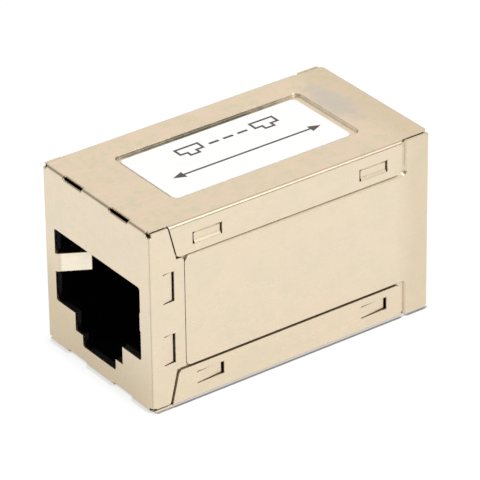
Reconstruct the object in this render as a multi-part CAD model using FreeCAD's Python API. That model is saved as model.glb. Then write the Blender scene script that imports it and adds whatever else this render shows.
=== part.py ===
import FreeCAD, Part
import math
import os

# Shielded RJ45 inline coupler.
#
# A front shell and a rear shell, each folded from one sheet, close round two jack
# housings that stand back to back with a small circuit board between them.
#
# Frame: millimetres, +Z up, origin on the underside at the middle of the coupler.
# The front port faces -Y, the rear port faces +Y, and the latch channels are downwards.
# "depth" is always measured inwards from the face of a port.

# ---- shield sheet ------------------------------------------------------------
SHEET = 0.2            # thickness of both folded shells
BEND_IN = 0.1          # inside radius of every fold
SLIP = 0.05            # clearance between parts that slide into each other
SAME_SPOT = 1e-6       # corners nearer than this are one corner

# ---- port, as the shell's opening ----------------------------------------------
PORT_W = 12.2          # width of the main opening
PORT_H = 6.8           # height of the main opening, above the latch steps
STEP1_W = 6.8          # upper latch step: width and drop
STEP1_DROP = 1.67
STEP2_W = 4.75         # lower latch step: width and drop
STEP2_DROP = 1.05
BELOW_PORT = 1.69      # underside of the coupler to the lowest step
ABOVE_PORT = 5.52      # top of the opening to the top of the coupler
BESIDE_PORT = 1.45     # edge of the opening to the side of the coupler
PORT_CORNER = 0.25     # corner radius of the punched opening

# ---- port, inside the housing ----------------------------------------------------
RIM = 0.1              # the moulded mouth is this much smaller all round
PLUG_DEPTH = 11.0      # port face to the comb that the springs end in
COMB_DEPTH = 1.3       # depth of the comb's slots
BACK_WALL = 1.25       # moulding behind the comb
BOARD_THICK = 1.2      # circuit board
LATCH_LIP = 1.4        # thickness of the catch that the plug's latch hooks behind
LATCH_ROOM = 8.4       # depth of the latch channel behind the face
MOUTH_BEVEL = 0.3      # lead-in round the mouth
RAIL_DEPTH = 0.6       # rails that centre the housing at the sides of the shell

# ---- overall size, from the port and what surrounds it ---------------------------
WIDTH = PORT_W + 2 * BESIDE_PORT
HEIGHT = BELOW_PORT + STEP2_DROP + STEP1_DROP + PORT_H + ABOVE_PORT
LENGTH = 2 * (PLUG_DEPTH + COMB_DEPTH + BACK_WALL + SLIP) + BOARD_THICK

# ---- front shell: flaps, flanges and seams ------------------------------------------
FLAP_DROP = 3.0        # height of the folded-over flaps on the sides
BOTTOM_FLAP_RISE = 3.14
FLAP_START = 2.0       # depth at which the flaps begin
FLAP_SLANT = 0.75      # how far the slanted front end of a flap runs back
FLAP_TO_REAR = 2.85    # rear end of the flaps to the rear face
FLAP_CORNER = 0.6      # rounded rear corner of the flaps
FLANGE_DEPTH = 3.4     # front face to the free edge of the front flanges
FLANGE_CORNER = 0.4
TOP_SEAM = 0.13        # gap between front flange and top flap or top plate
BOTTOM_SEAM = 0.28     # gap between front flange and bottom flap
FLANGE_BELOW_TOP = 0.08
FLANGE_ABOVE_PLATE = 0.13
REAR_SEAM = 0.14       # gap between the plates and the rear shell's walls
REAR_CLIP = 0.3        # clipped rear corners of the top and bottom plates
FOLD_RELIEF = 0.1      # the side folds stop this short of the top and bottom folds
TOP_RELIEF = 0.35      # rounded notch at the top front corners, beyond the folds
TOP_RELIEF_CORNER = 0.22
BOTTOM_RELIEF = 0.2    # the same at the bottom, along the front face
BOTTOM_RELIEF_BACK = 0.12  # and along the flange
BOTTOM_RELIEF_RISE = 0.25  # and its height above the bottom plate
BOTTOM_RELIEF_CORNER = 0.08

# ---- front shell: slots across the top and bottom front folds -----------------------
SLOT_LENGTH = 2.75
SLOT_REACH = 0.36      # how far each slot runs past the fold on either face
SLOT_SPACING = 6.5     # centre to centre of the two slots

# ---- front shell: sunk label field -----------------------------------------------
FIELD_W = 8.8
FIELD_L = 18.9
FIELD_SINK = 0.2
FIELD_RUN = 0.1        # width of the field's sloping edge
FIELD_CORNER = 0.6
FIELD_SHIFT_X = -0.28
FIELD_SHIFT_Y = 0.26
LABEL_THICK = 0.1
LABEL_GAP = 0.1        # label to the field's slope at the front and right
LABEL_LEFT_GAP = 0.5
LABEL_REAR_GAP = 0.7

# ---- locking tongues (lances) and the windows they spring into ----------------------
LANCE_LENGTH = 2.6     # along the flaps
LANCE_WIDTH = 1.0
LANCE_IN = 1.88        # centre of the bottom flap's tongues to the bottom face
LANCE_FIRST = 4.5      # depth of the root of the front flap tongue
LANCE_TO_REAR = 4.5    # tip of the rear flap tongue to the rear face
FLANGE_LANCE_ROOT = 1.3
FLANGE_LANCE_LENGTH = 1.0
FLANGE_LANCE_WIDTH = 2.6
FLANGE_LANCE_SPACING = 5.76
LANCE_DROP = 0.22      # how far the tips of the flap tongues are pressed in
FLANGE_LANCE_DROP = 0.16
LANCE_KERF = 0.08      # shear gap along the sides of a tongue
LANCE_TIP_KERF = 0.1   # shear gap at its tip
WINDOW_MARGIN = 0.2    # window in the wall behind, larger than the tongue all round
DENT_IN = 1.74         # centre of the top flap's bridge dents to the top face
DENT_FLAT = 0.6        # width of a dent's floor
DENT_RUN = 0.25        # width of each of its sloping sides
DENT_DROP = 0.18
DENT_FRONT_SLIT = 0.22  # shear gap at a dent's front end

# ---- grounding fingers at the sides of each port ------------------------------------
FINGER_WIDTH = 1.7
FINGER_LENGTH = 2.75
FINGER_BEND = 60.0     # degrees inwards from the face
FINGER_BEND_IN = 0.15  # inside radius of that bend
FINGER_BELOW_TOP = 3.2  # centre of the finger below the top of the opening
FINGER_ROOM = 0.25     # clearance round the finger in the housing
FINGER_NOTCH = 4.2     # depth of the notch that it springs back into

# ---- rear shell: joggled side walls and tabs -------------------------------------
JOGGLE_RUN = 0.2       # width of the sloping step between the two wall levels
PANEL_START = 3.47     # depth of the raised panel's front edge, a steep step
PANEL_STEP = 0.04      # and the width of that step
PANEL_BOTTOM = 3.39    # height of its lower edge
PANEL_BELOW_TOP = 3.29  # its upper edge below the top
PANEL_CORNER = 0.45
PANEL_TO_REAR = 2.35   # where the raised level reaches full height
WALL_SETBACK = 0.95    # front edge of the side walls behind the front face
WALL_INSET = 0.06      # top and bottom edges of the rear part of the walls
TAB_SETBACK = 1.9      # side of the coupler to the tabs that lie under its plates
TAB_DEPTH = 3.0
TAB_RELIEF = 0.3

# ---- contact carrier and spring contacts ---------------------------------------------
CONTACTS = 8
PITCH = 1.02
CONTACT_W = 0.4
CONTACT_THICK = 0.25
CONTACT_BEND_IN = 0.15
HAIRPIN_IN = 0.45      # inside radius of the bend at the front of a spring
HAIRPIN_DEPTH = 3.9    # depth at which that bend begins
SPRING_DROOP = 20.0    # degrees that the free arm slopes down towards the rear
SPRING_ARM = 7.7
GROOVE_W = 0.52        # grooves and comb slots in the carrier
CARRIER_CHEEK = 1.02   # carrier beyond the outermost contacts' pitch
CARRIER_START = 4.4    # depth of the carrier's front end
CARRIER_RISE = 3.2     # height of the carrier above the port's ceiling
COMB_DROP = 4.4        # how far the comb hangs below the ceiling
COMB_FOOT = 0.5        # solid foot under the comb's slots
NOSE_START = 2.9       # front of the relief for the spring noses
NOSE_RISE = 0.95       # height of that relief above the ceiling
ROW_RISE = 1.25        # second row of tails above the first
TAIL_RISER = 1.1       # depth of the riser in front of the board
TAIL_SLOT = 1.45       # depth of the slots that the tails leave through
TAIL_OUT = 0.6         # tails beyond the far face of the board

# ---- circuit board -------------------------------------------------------------------
BOARD_SIDE_GAP = 0.15
BOARD_HOLE_R = 0.3
BOARD_TOP_GAP = 1.2
BOARD_BOTTOM_GAP = 1.2

# ---- derived levels ------------------------------------------------------------------
BEND_OUT = BEND_IN + SHEET
HALF_W = WIDTH / 2
HALF_L = LENGTH / 2
FRONT = -HALF_L
PORT_FLOOR = BELOW_PORT + STEP2_DROP + STEP1_DROP
PORT_TOP = PORT_FLOOR + PORT_H
CEILING = PORT_TOP - RIM
MAIN_FLOOR = PORT_FLOOR + RIM
STEP1_FLOOR = BELOW_PORT + STEP2_DROP + RIM
STEP2_FLOOR = BELOW_PORT + RIM
RECESS_OUT = HALF_W - SHEET - SLIP          # outer face of the walls' recessed level
INNER_W = RECESS_OUT - SHEET                # clear half-width inside both shells
PLATE_EDGE = HALF_W - SHEET - TOP_SEAM      # sheared side edges of the plates
HOUSING_START = SHEET + SLIP
HOUSING_END = HALF_L - BOARD_THICK / 2 - SLIP
HOUSING_HALF_W = INNER_W - SLIP
HOUSING_BOTTOM = 2 * (SHEET + SLIP)
HOUSING_TOP = HEIGHT - SHEET - SLIP - max(SHEET + SLIP, FIELD_SINK)
COMB_BOTTOM = CEILING - COMB_DROP
CARRIER_TOP = CEILING + CARRIER_RISE
FINGER_Z = PORT_TOP - FINGER_BELOW_TOP
CARRIER_HALF_W = CONTACTS * PITCH / 2 + CARRIER_CHEEK
BOARD_HALF_W = INNER_W - BOARD_SIDE_GAP
TAB_HALF_W = HALF_W - TAB_SETBACK
RAIL_INNER = TAB_HALF_W + TAB_RELIEF + SLIP
GROOVE_DEPTH = CONTACT_THICK + 2 * SLIP
CONTACT_Z = CEILING + SLIP + CONTACT_THICK / 2   # middle of the springs' straight runs
ROW_Z = (CONTACT_Z, CONTACT_Z + ROW_RISE)
FLAP_END = LENGTH - FLAP_TO_REAR
LEVELS_APART = SHEET + SLIP

V = FreeCAD.Vector
AXES = {
    "x": (V(1, 0, 0), lambda u, v, w: V(w, u, v)),
    "y": (V(0, 1, 0), lambda u, v, w: V(u, w, v)),
    "z": (V(0, 0, 1), lambda u, v, w: V(u, v, w)),
}


# ---- building blocks -----------------------------------------------------------------
def block(x0, x1, y0, y1, z0, z1):
    return Part.makeBox(x1 - x0, y1 - y0, z1 - z0, V(x0, y0, z0))


def join(shapes):
    """One solid from touching or overlapping shapes, without leftover seams."""
    return shapes[0].multiFuse(shapes[1:]).removeSplitter()


def both_sides(shapes):
    """The shapes together with their mirror images on the other side, in X."""
    return shapes + [s.mirror(V(0, 0, 0), V(1, 0, 0)) for s in shapes]


def turned_round(shape):
    """The same shape for the port at the other end: half a turn about Z."""
    turned = shape.copy()
    turned.rotate(V(0, 0, 0), V(0, 0, 1), 180)
    return turned


def rounded_wire(corners, axis, level):
    """Closed wire through (u, v, radius) corners, in the plane across axis at level."""
    place = AXES[axis][1]
    stretches = []
    for i, (u, v, radius) in enumerate(corners):
        here = V(u, v, 0)
        to_last = V(*corners[i - 1][:2], 0) - here
        to_next = V(*corners[(i + 1) % len(corners)][:2], 0) - here
        to_last.normalize()
        to_next.normalize()
        if radius <= 0:
            stretches.append((here, None, here))
            continue
        half = to_last.getAngle(to_next) / 2
        inward = to_last + to_next
        inward.normalize()
        run = radius / math.tan(half)
        middle = here + inward * (radius / math.sin(half) - radius)
        stretches.append((here + to_last * run, middle, here + to_next * run))
    edges = []
    for i, (start, middle, end) in enumerate(stretches):
        before = stretches[i - 1][2]
        points = [place(p.x, p.y, level) for p in (before, start, end)]
        if before.distanceToPoint(start) > SAME_SPOT:
            edges.append(Part.LineSegment(points[0], points[1]).toShape())
        if middle is not None:
            bulge = place(middle.x, middle.y, level)
            edges.append(Part.Arc(points[1], bulge, points[2]).toShape())
    return Part.Wire(edges)


def prism(corners, axis, low, high):
    """Straight prism along axis from low to high, on a rounded outline."""
    face = Part.Face(rounded_wire(corners, axis, low))
    return face.extrude(AXES[axis][0] * (high - low))


def tapered(corners_low, low, corners_high, high, axis):
    """Solid between two outlines of the same corners, such as a pressed-out panel."""
    wires = [rounded_wire(corners_low, axis, low), rounded_wire(corners_high, axis, high)]
    return Part.makeLoft(wires, True, True)


def bent_strip(start, heading, steps, thick, inside, axis, low, high):
    """Strip folded in the plane across axis and cut to the width low..high.

    It starts with its middle line at start, heading in degrees. Each step is
    ("run", mm) or ("bend", degrees), where a positive bend turns left.
    """
    place = AXES[axis][1]
    half = thick / 2
    point = V(*start, 0)
    angle = math.radians(heading)
    left, right = [], []

    def spot(p):
        return place(p.x, p.y, low)

    for kind, amount in steps:
        along = V(math.cos(angle), math.sin(angle), 0)
        side = V(-along.y, along.x, 0)
        if kind == "run":
            end = point + along * amount
            for edges, shift in ((left, side * half), (right, side * -half)):
                edges.append(Part.LineSegment(spot(point + shift), spot(end + shift)).toShape())
            point = end
            continue
        turn = math.radians(amount)
        hand = math.copysign(1, turn)
        centre = point + side * (hand * (inside + half))

        def on_arc(radius, share):
            swung = angle - hand * math.pi / 2 + turn * share
            return centre + V(math.cos(swung), math.sin(swung), 0) * radius

        radii = {1: inside, -1: inside + thick}
        for edges, sign in ((left, 1), (right, -1)):
            radius = radii[int(hand * sign)]
            bend = [spot(on_arc(radius, share)) for share in (0, 0.5, 1)]
            edges.append(Part.Arc(*bend).toShape())
        point = on_arc(inside + half, 1)
        angle += turn

    def cap(edge_a, edge_b, which):
        return Part.LineSegment(edge_a.Vertexes[which].Point, edge_b.Vertexes[which].Point).toShape()

    outline = left + right + [cap(left[0], right[0], 0), cap(left[-1], right[-1], -1)]
    face = Part.Face(Part.Wire(Part.__sortEdges__(outline)))
    return face.extrude(AXES[axis][0] * (high - low))


# ---- the port opening, shared by both shells and both housings -----------------------
def port_outline(shrink, corner):
    """Stepped RJ45 opening in the XZ plane, latch steps down, made smaller by shrink."""
    main = PORT_W / 2 - shrink
    step1 = STEP1_W / 2 - shrink
    step2 = STEP2_W / 2 - shrink
    right = [
        (step2, BELOW_PORT + shrink, corner),
        (step2, BELOW_PORT + STEP2_DROP + shrink, 0),
        (step1, BELOW_PORT + STEP2_DROP + shrink, 0),
        (step1, PORT_FLOOR + shrink, 0),
        (main, PORT_FLOOR + shrink, corner),
        (main, PORT_TOP - shrink, corner),
    ]
    left = [(-x, z, r) for x, z, r in reversed(right)]
    return right + left


def port_cut():
    """Tool that punches the opening through a shell's face at the front."""
    return prism(port_outline(0, PORT_CORNER), "y", FRONT - SHEET, FRONT + BEND_OUT)


def fingers():
    """Two grounding fingers, folded inwards from the sides of the front opening."""
    root = SHEET
    finger = bent_strip(
        (PORT_W / 2 + root, FRONT + SHEET / 2), 180,
        [("run", root), ("bend", -FINGER_BEND), ("run", FINGER_LENGTH)],
        SHEET, FINGER_BEND_IN, "z", FINGER_Z - FINGER_WIDTH / 2, FINGER_Z + FINGER_WIDTH / 2)
    return both_sides([finger])


# ---- lances --------------------------------------------------------------------------
def lances():
    """Root depth, lower edge, length, width and drop of every tongue on the +X side."""
    places = [(root, LANCE_IN - LANCE_WIDTH / 2, LANCE_LENGTH, LANCE_WIDTH, LANCE_DROP)
              for root in (LANCE_FIRST, LENGTH - LANCE_TO_REAR - LANCE_LENGTH)]
    for sign in (-1, 1):
        low = HEIGHT / 2 + sign * FLANGE_LANCE_SPACING / 2 - FLANGE_LANCE_WIDTH / 2
        places.append((FLANGE_LANCE_ROOT, low, FLANGE_LANCE_LENGTH, FLANGE_LANCE_WIDTH,
                       FLANGE_LANCE_DROP))
    return places


def lance_opening(root, low, length, width, drop):
    """What is sheared out round one tongue on the +X side."""
    return block(HALF_W - 2 * SHEET, HALF_W + SHEET,
                 FRONT + root, FRONT + root + length + LANCE_TIP_KERF,
                 low - LANCE_KERF, low + width + LANCE_KERF)


def lance_tongue(root, low, length, width, drop):
    """The tongue itself: it leaves the sheet at its root and its tip is pressed in."""
    slope = math.degrees(math.asin(drop / length))
    return bent_strip(
        (HALF_W - SHEET / 2, FRONT + root - SHEET), 90,
        [("run", SHEET), ("bend", slope), ("run", length - SHEET / 2)],
        SHEET, SHEET, "z", low, low + width)


def dents():
    """Root depth of each bridge dent in the top flap, on the +X side."""
    return [LANCE_FIRST, LENGTH - LANCE_TO_REAR - LANCE_LENGTH]


def dent_opening(root):
    """What a dent replaces, with the shear gaps at its two ends."""
    half = DENT_FLAT / 2 + DENT_RUN
    middle = HEIGHT - DENT_IN
    return block(HALF_W - 2 * SHEET, HALF_W + SHEET, FRONT + root - DENT_FRONT_SLIT,
                 FRONT + root + LANCE_LENGTH + LANCE_TIP_KERF, middle - half, middle + half)


def dent_bridge(root):
    """The dent: a strip pressed in that stays joined to the flap above and below."""
    middle = HEIGHT - DENT_IN
    flat, rim = DENT_FLAT / 2, DENT_FLAT / 2 + DENT_RUN
    path = [(HALF_W, -rim), (HALF_W - DENT_DROP, -flat), (HALF_W - DENT_DROP, flat), (HALF_W, rim)]
    outside = [(x, middle + rise, 0) for x, rise in path]
    inside = [(x - SHEET, z, 0) for x, z, _ in reversed(outside)]
    return prism(outside + inside, "y", FRONT + root, FRONT + root + LANCE_LENGTH)


def wall_windows():
    """Windows in the wall behind every tongue and dent."""
    places = [place[:4] for place in lances()]
    places += [(root, HEIGHT - DENT_IN - LANCE_WIDTH / 2, LANCE_LENGTH, LANCE_WIDTH)
               for root in dents()]
    margin = WINDOW_MARGIN
    return [block(INNER_W - SHEET, HALF_W, FRONT + root - margin,
                  FRONT + root + length + LANCE_TIP_KERF + margin, low - margin, low + width + margin)
            for root, low, length, width in places]


# ---- front shell ---------------------------------------------------------------------
def front_channel():
    """Bottom plate, front face and top plate, folded as one channel."""
    run = LENGTH - BEND_OUT
    return bent_strip(
        (HALF_L, SHEET / 2), 180,
        [("run", run), ("bend", -90), ("run", HEIGHT - 2 * BEND_OUT), ("bend", -90), ("run", run)],
        SHEET, BEND_IN, "x", -PLATE_EDGE, PLATE_EDGE)


def flap_edge(level, rise, top):
    """Depth of a flap's slanted front end at a height; rise is the flap's height."""
    from_fold = HEIGHT - level if top else level
    return FLAP_START + FLAP_SLANT * from_fold / rise


def flap_pair(top):
    """Both side flaps of the top or the bottom plate, with slanted and rounded ends."""
    rise = FLAP_DROP if top else BOTTOM_FLAP_RISE
    fold = HEIGHT - SHEET / 2 if top else SHEET / 2
    tip = HEIGHT - rise if top else rise
    first, turn = (90, -90) if top else (-90, 90)
    strip = bent_strip(
        (-HALF_W + SHEET / 2, tip), first,
        [("run", rise - BEND_OUT), ("bend", turn), ("run", WIDTH - 2 * BEND_OUT),
         ("bend", turn), ("run", rise - BEND_OUT)],
        SHEET, BEND_IN, "y", FRONT + FLAP_START, FRONT + FLAP_END)
    beyond = fold + (SHEET if top else -SHEET)
    outline = [
        (FRONT + flap_edge(beyond, rise, top), beyond, 0),
        (FRONT + FLAP_START + FLAP_SLANT, tip, FLANGE_CORNER),
        (FRONT + FLAP_END, tip, FLAP_CORNER),
        (FRONT + FLAP_END, beyond, 0),
    ]
    return strip.common(prism(outline, "x", -WIDTH, WIDTH))


def front_flanges():
    """The front face's side folds, and the flanges whose ends follow the flaps."""
    fold = bent_strip(
        (-HALF_W + SHEET / 2, FRONT + BEND_OUT + SHEET), -90,
        [("run", SHEET), ("bend", 90), ("run", WIDTH - 2 * BEND_OUT), ("bend", 90), ("run", SHEET)],
        SHEET, BEND_IN, "z", BEND_OUT + FOLD_RELIEF, HEIGHT - BEND_OUT - FOLD_RELIEF)
    slant_gap = TOP_SEAM / math.cos(math.atan(FLAP_SLANT / FLAP_DROP))
    low_gap = BOTTOM_SEAM / math.cos(math.atan(FLAP_SLANT / BOTTOM_FLAP_RISE))
    top, under_flap = HEIGHT - FLANGE_BELOW_TOP, HEIGHT - FLAP_DROP - TOP_SEAM
    bottom, over_flap = SHEET + FLANGE_ABOVE_PLATE, BOTTOM_FLAP_RISE + BOTTOM_SEAM
    outline = [
        (BEND_OUT, bottom, 0),
        (flap_edge(bottom, BOTTOM_FLAP_RISE, False) - low_gap, bottom, SHEET),
        (flap_edge(over_flap, BOTTOM_FLAP_RISE, False) - low_gap, over_flap, 0),
        (FLANGE_DEPTH, over_flap, 0),
        (FLANGE_DEPTH, under_flap, FLANGE_CORNER),
        (flap_edge(under_flap, FLAP_DROP, True) - slant_gap, under_flap, 0),
        (flap_edge(top, FLAP_DROP, True) - slant_gap, top, 0),
        (BEND_OUT, top, 0),
    ]
    outline = [(FRONT + depth, z, r) for depth, z, r in outline]
    return [fold] + both_sides([prism(outline, "x", HALF_W - SHEET, HALF_W)])


def bottom_corners():
    """The bottom plate's front corners, which show below the flanges."""
    reach = flap_edge(0, BOTTOM_FLAP_RISE, False)
    return both_sides([block(PLATE_EDGE - SHEET, HALF_W - SLIP,
                             FRONT + BEND_OUT + SLIP, FRONT + reach, 0, SHEET)])


def corner_reliefs():
    """Rounded notches at the front corners, where the folds of three faces meet."""
    inner, low = HALF_W - BEND_OUT - TOP_RELIEF, HEIGHT - BEND_OUT - FOLD_RELIEF
    outer, above = HALF_W + SHEET, HEIGHT + SHEET
    top = prism([(inner, low, TOP_RELIEF_CORNER), (outer, low, 0), (outer, above, 0), (inner, above, 0)],
                "y", FRONT - SHEET, FRONT + BEND_OUT)
    before, end = FRONT - SHEET, FRONT + BEND_OUT + BOTTOM_RELIEF_BACK
    rise = SHEET + BOTTOM_RELIEF_RISE
    corner = BOTTOM_RELIEF_CORNER
    bottom = prism([(before, SHEET, 0), (end, SHEET, 0), (end, rise, corner), (before, rise, 0)],
                   "x", HALF_W - BEND_OUT - BOTTOM_RELIEF, outer)
    return both_sides([top, bottom])


def fold_slots():
    """Round-ended slots across the front face's top and bottom folds."""
    half, reach = SLOT_LENGTH / 2, SLOT_REACH
    cuts = []
    for middle in (-SLOT_SPACING / 2, SLOT_SPACING / 2):
        for fold_z in (0, HEIGHT):
            across = [(middle + sx * half, fold_z + sz * reach, reach / 2)
                      for sx, sz in ((-1, -1), (1, -1), (1, 1), (-1, 1))]
            cuts.append(prism(across, "y", FRONT - SHEET, FRONT + BEND_OUT))
            along = [(middle + sx * half, FRONT + sy * reach, reach / 2)
                     for sx, sy in ((-1, -1), (1, -1), (1, 1), (-1, 1))]
            inner = fold_z + (BEND_OUT if fold_z == 0 else -BEND_OUT)
            outer = fold_z + (-SHEET if fold_z == 0 else SHEET)
            cuts.append(prism(along, "z", min(inner, outer), max(inner, outer)))
    return cuts


def rear_clips():
    """Tools that clip the rear corners of the top and bottom plates."""
    wedge = [(PLATE_EDGE - REAR_CLIP, HALF_L, 0), (PLATE_EDGE + SHEET, HALF_L - REAR_CLIP - SHEET, 0),
             (PLATE_EDGE + SHEET, HALF_L + SHEET, 0), (PLATE_EDGE - REAR_CLIP, HALF_L + SHEET, 0)]
    return both_sides([prism(wedge, "z", -SHEET, HEIGHT + SHEET)])


def plate_seams():
    """Tools that narrow the plates beside the rear part of the rear shell's walls."""
    edge = HALF_W - SHEET - REAR_SEAM
    return both_sides([block(edge, HALF_W + SHEET, FRONT + FLAP_END, HALF_L + SHEET,
                             -SHEET, HEIGHT + SHEET)])


def field_outline(grow):
    half_w, half_l = FIELD_W / 2 + grow, FIELD_L / 2 + grow
    corner = FIELD_CORNER + grow
    return [(FIELD_SHIFT_X + sx * half_w, FIELD_SHIFT_Y + sy * half_l, corner)
            for sx, sy in ((-1, -1), (1, -1), (1, 1), (-1, 1))]


def sunk_field(shell):
    """Press the label field down into the top plate."""
    lean = math.atan2(FIELD_SINK, FIELD_RUN) / 2
    under = SHEET * math.tan(lean)
    floor, below = HEIGHT - FIELD_SINK, HEIGHT - SHEET
    pan = tapered(field_outline(under - FIELD_RUN), floor - SHEET, field_outline(under), below, "z")
    hollow = tapered(field_outline(-FIELD_RUN), floor, field_outline(0), HEIGHT, "z")
    return shell.fuse(pan).cut(hollow)


def front_shell():
    sheet = join([front_channel(), flap_pair(True), flap_pair(False)]
                 + front_flanges() + bottom_corners())
    sheet = sunk_field(sheet)
    cuts = [port_cut()] + rear_clips() + plate_seams()
    cuts += both_sides([lance_opening(*place) for place in lances()]
                       + [dent_opening(root) for root in dents()])
    pressed = both_sides([lance_tongue(*place) for place in lances()]
                         + [dent_bridge(root) for root in dents()])
    sheet = join([sheet.cut(cuts)] + fingers() + pressed)
    return sheet.cut(corner_reliefs() + fold_slots())


# ---- rear shell ----------------------------------------------------------------------
def panel_outline(start, grow, overrun):
    """Raised level of a side wall in the YZ plane, from the depth start of its front edge.

    grow makes it larger at its other sloping edges, and overrun lengthens it past the
    wall's free edges.
    """
    front, rear = FRONT + start, HALF_L - PANEL_TO_REAR - grow
    low, high = PANEL_BOTTOM - grow, HEIGHT - PANEL_BELOW_TOP + grow
    bottom, top = WALL_INSET - overrun, HEIGHT - WALL_INSET + overrun
    end = HALF_L - BEND_OUT + overrun
    convex, concave = PANEL_CORNER + grow, PANEL_CORNER - grow
    return [
        (front, low, convex), (rear, low, concave), (rear, bottom, 0), (end, bottom, 0),
        (end, top, 0), (rear, top, 0), (rear, high, concave), (front, high, convex),
    ]


def side_wall():
    """The +X wall: recessed margins under the flaps, and a level pressed out flush."""
    lean = math.atan2(LEVELS_APART, JOGGLE_RUN) / 2
    inset = SHEET * math.tan(lean)
    margin = block(INNER_W, RECESS_OUT, FRONT + WALL_SETBACK, HALF_L - PANEL_TO_REAR,
                   LEVELS_APART, HEIGHT - LEVELS_APART)
    step, web = PANEL_START - PANEL_STEP, PANEL_START + SHEET
    raised = tapered(panel_outline(step, JOGGLE_RUN, 0), RECESS_OUT,
                     panel_outline(PANEL_START, 0, 0), HALF_W, "x")
    hollow = tapered(panel_outline(web - PANEL_STEP, JOGGLE_RUN - inset, SHEET), INNER_W,
                     panel_outline(web, -inset, SHEET), HALF_W - SHEET, "x")
    return margin.fuse(raised).cut(hollow)


def rear_face():
    """Rear face with its side folds and the two tabs under the plates."""
    low, high = LEVELS_APART, HEIGHT - LEVELS_APART
    turned_sides = bent_strip(
        (HALF_W - SHEET / 2, HALF_L - BEND_OUT - SLIP), 90,
        [("run", SLIP), ("bend", 90), ("run", WIDTH - 2 * BEND_OUT), ("bend", 90), ("run", SLIP)],
        SHEET, BEND_IN, "z", low, high)
    reach = TAB_HALF_W + TAB_RELIEF
    notches = [block(-reach, reach, HALF_L - 2 * SHEET, HALF_L + SHEET, z0, z0 + BEND_OUT)
               for z0 in (low, high - BEND_OUT)]
    run = TAB_DEPTH - BEND_OUT
    tabs = bent_strip(
        (HALF_L - TAB_DEPTH, low + SHEET / 2), 0,
        [("run", run), ("bend", 90), ("run", high - low - 2 * BEND_OUT), ("bend", 90), ("run", run)],
        SHEET, BEND_IN, "x", -TAB_HALF_W, TAB_HALF_W)
    return [turned_sides.cut(notches), tabs]


def rear_shell():
    sheet = join(rear_face() + both_sides([side_wall()]))
    cuts = [turned_round(port_cut())]
    cuts += both_sides(wall_windows())
    sheet = sheet.cut(cuts)
    return join([sheet] + [turned_round(finger) for finger in fingers()])


# ---- jack housing --------------------------------------------------------------------
def housing():
    """Moulded jack body for the front port."""
    body = block(-HOUSING_HALF_W, HOUSING_HALF_W, FRONT + HOUSING_START, FRONT + HOUSING_END,
                 HOUSING_BOTTOM, HOUSING_TOP)
    body = body.fuse(centring_rails())
    return body.cut(mouth_cuts() + finger_notches() + carrier_pockets()).removeSplitter()


def centring_rails():
    """Rails beside the mouth that fill the corners of the shell and centre the housing."""
    start = FRONT + HOUSING_START
    return both_sides([block(RAIL_INNER, RECESS_OUT, start, start + RAIL_DEPTH,
                             LEVELS_APART, HEIGHT - LEVELS_APART)])


def mouth_cuts():
    """Stepped mouth with its lead-in, the plug's chamber and the latch channel."""
    face = FRONT + HOUSING_START
    mouth = prism(port_outline(RIM, 0), "y", FRONT, FRONT + LATCH_LIP)
    lead_in = tapered(port_outline(RIM - MOUTH_BEVEL / 2, 0), face,
                      port_outline(RIM, 0), face + MOUTH_BEVEL, "y")
    half = PORT_W / 2 - RIM
    step = STEP1_W / 2 - RIM
    chamber = block(-half, half, FRONT, FRONT + PLUG_DEPTH, MAIN_FLOOR, CEILING)
    channel = block(-step, step, FRONT + LATCH_LIP, FRONT + LATCH_ROOM, STEP2_FLOOR, MAIN_FLOOR)
    keyway = block(-step, step, FRONT, FRONT + PLUG_DEPTH, STEP1_FLOOR, MAIN_FLOOR)
    return [mouth, lead_in, chamber, channel, keyway]


def finger_notches():
    """Notches through the side walls that the grounding fingers spring back into."""
    half = FINGER_WIDTH / 2 + FINGER_ROOM
    return both_sides([block(PORT_W / 2 - 2 * RIM, HALF_W, FRONT, FRONT + FINGER_NOTCH,
                             FINGER_Z - half, FINGER_Z + half)])


def carrier_pockets():
    """Pocket that the contact carrier slides into from the rear, and the nose relief."""
    half = CARRIER_HALF_W + SLIP
    rear = HALF_L
    nose = block(-half, half, FRONT + NOSE_START, FRONT + CARRIER_START,
                 MAIN_FLOOR, CEILING + NOSE_RISE)
    bed = block(-half, half, FRONT + CARRIER_START - SLIP, FRONT + rear,
                CEILING - SLIP, CARRIER_TOP + SLIP)
    comb_bay = block(-half, half, FRONT + PLUG_DEPTH - SLIP, FRONT + rear,
                     COMB_BOTTOM - SLIP, CEILING)
    return [nose, bed, comb_bay]


# ---- contact carrier -----------------------------------------------------------------
def contact_x(index):
    return (index - (CONTACTS + 1) / 2) * PITCH


def carrier():
    """Insert for the front port: grooved bed above the chamber, comb at its end."""
    half = CARRIER_HALF_W
    end = HOUSING_END
    bed = block(-half, half, FRONT + CARRIER_START, FRONT + end, CEILING, CARRIER_TOP)
    comb = block(-half, half, FRONT + PLUG_DEPTH, FRONT + end, COMB_BOTTOM, CEILING)
    cuts = []
    for index in range(1, CONTACTS + 1):
        x0, x1 = contact_x(index) - GROOVE_W / 2, contact_x(index) + GROOVE_W / 2
        cuts.append(block(x0, x1, FRONT, FRONT + end + SLIP, CEILING - SLIP, CEILING + GROOVE_DEPTH))
        cuts.append(block(x0, x1, FRONT, FRONT + PLUG_DEPTH + COMB_DEPTH,
                          COMB_BOTTOM + COMB_FOOT, CEILING))
        cuts.append(block(x0, x1, FRONT + end - TAIL_SLOT, FRONT + end + SLIP,
                          CEILING - SLIP, ROW_Z[1] + GROOVE_W))
    return join([bed, comb]).cut(cuts).removeSplitter()


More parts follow.
